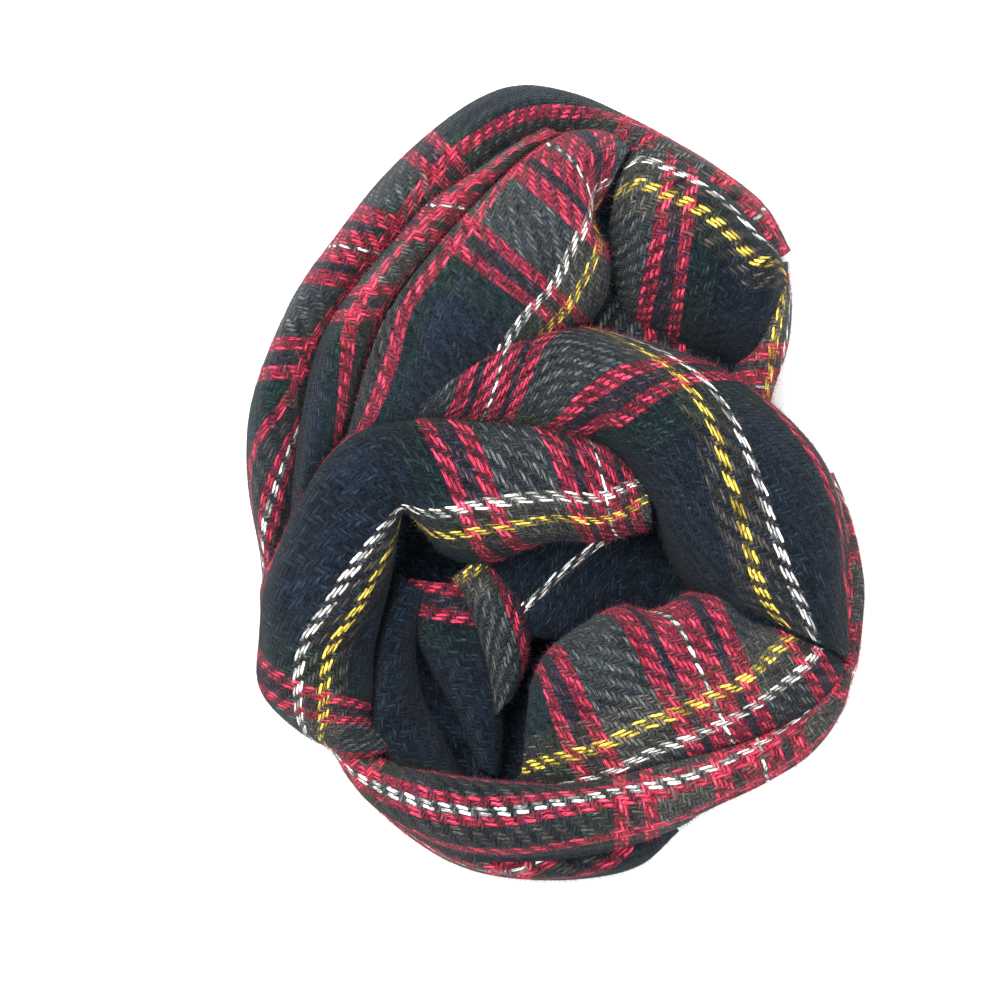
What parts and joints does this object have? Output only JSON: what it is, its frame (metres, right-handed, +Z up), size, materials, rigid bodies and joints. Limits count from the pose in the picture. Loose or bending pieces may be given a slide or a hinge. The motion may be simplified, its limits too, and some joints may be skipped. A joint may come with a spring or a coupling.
{
  "type": "infinity scarf",
  "caption": "Woven tartan infinity scarf, doubled into two rings and dropped in a soft heap.",
  "frame": {"origin": "middle of the heap's outline, on the surface that it lies on", "axes": "+Z up, +Y towards the back fold, +X towards the right end of the coil"},
  "size_m": [0.3121, 0.4013, 0.11],
  "materials": {
    "cloth_navy_with_lines": "brushed twill, navy ground with white and yellow lines",
    "cloth_red_band": "brushed twill, red and grey-green bands",
    "cloth_green_and_red": "brushed twill, grey-green ground with red lines",
    "cloth_hidden": "layers inside the heap, matte"
  },
  "bodies": {
    "root": {"coil_arch": "cloth_navy_with_lines", "coil_sweep": "cloth_navy_with_lines", "coil_front": "cloth_red_band", "inner_panel": "cloth_red_band", "back_inner_fold": "cloth_green_and_red", "back_right_fold": "cloth_navy_with_lines", "back_right_side": "cloth_red_band", "back_middle_fold": "cloth_green_and_red", "back_outer_fold": "cloth_green_and_red", "inner_ridge": "cloth_navy_with_lines", "inner_left_roll": "cloth_navy_with_lines", "inner_middle_roll": "cloth_navy_with_lines", "pit_cloth": "cloth_navy_with_lines", "right_under_fold": "cloth_red_band", "front_under_fold": "cloth_red_band", "hollow_cloth": "cloth_navy_with_lines", "hidden_layers": "cloth_hidden"}
  },
  "joints": []
}
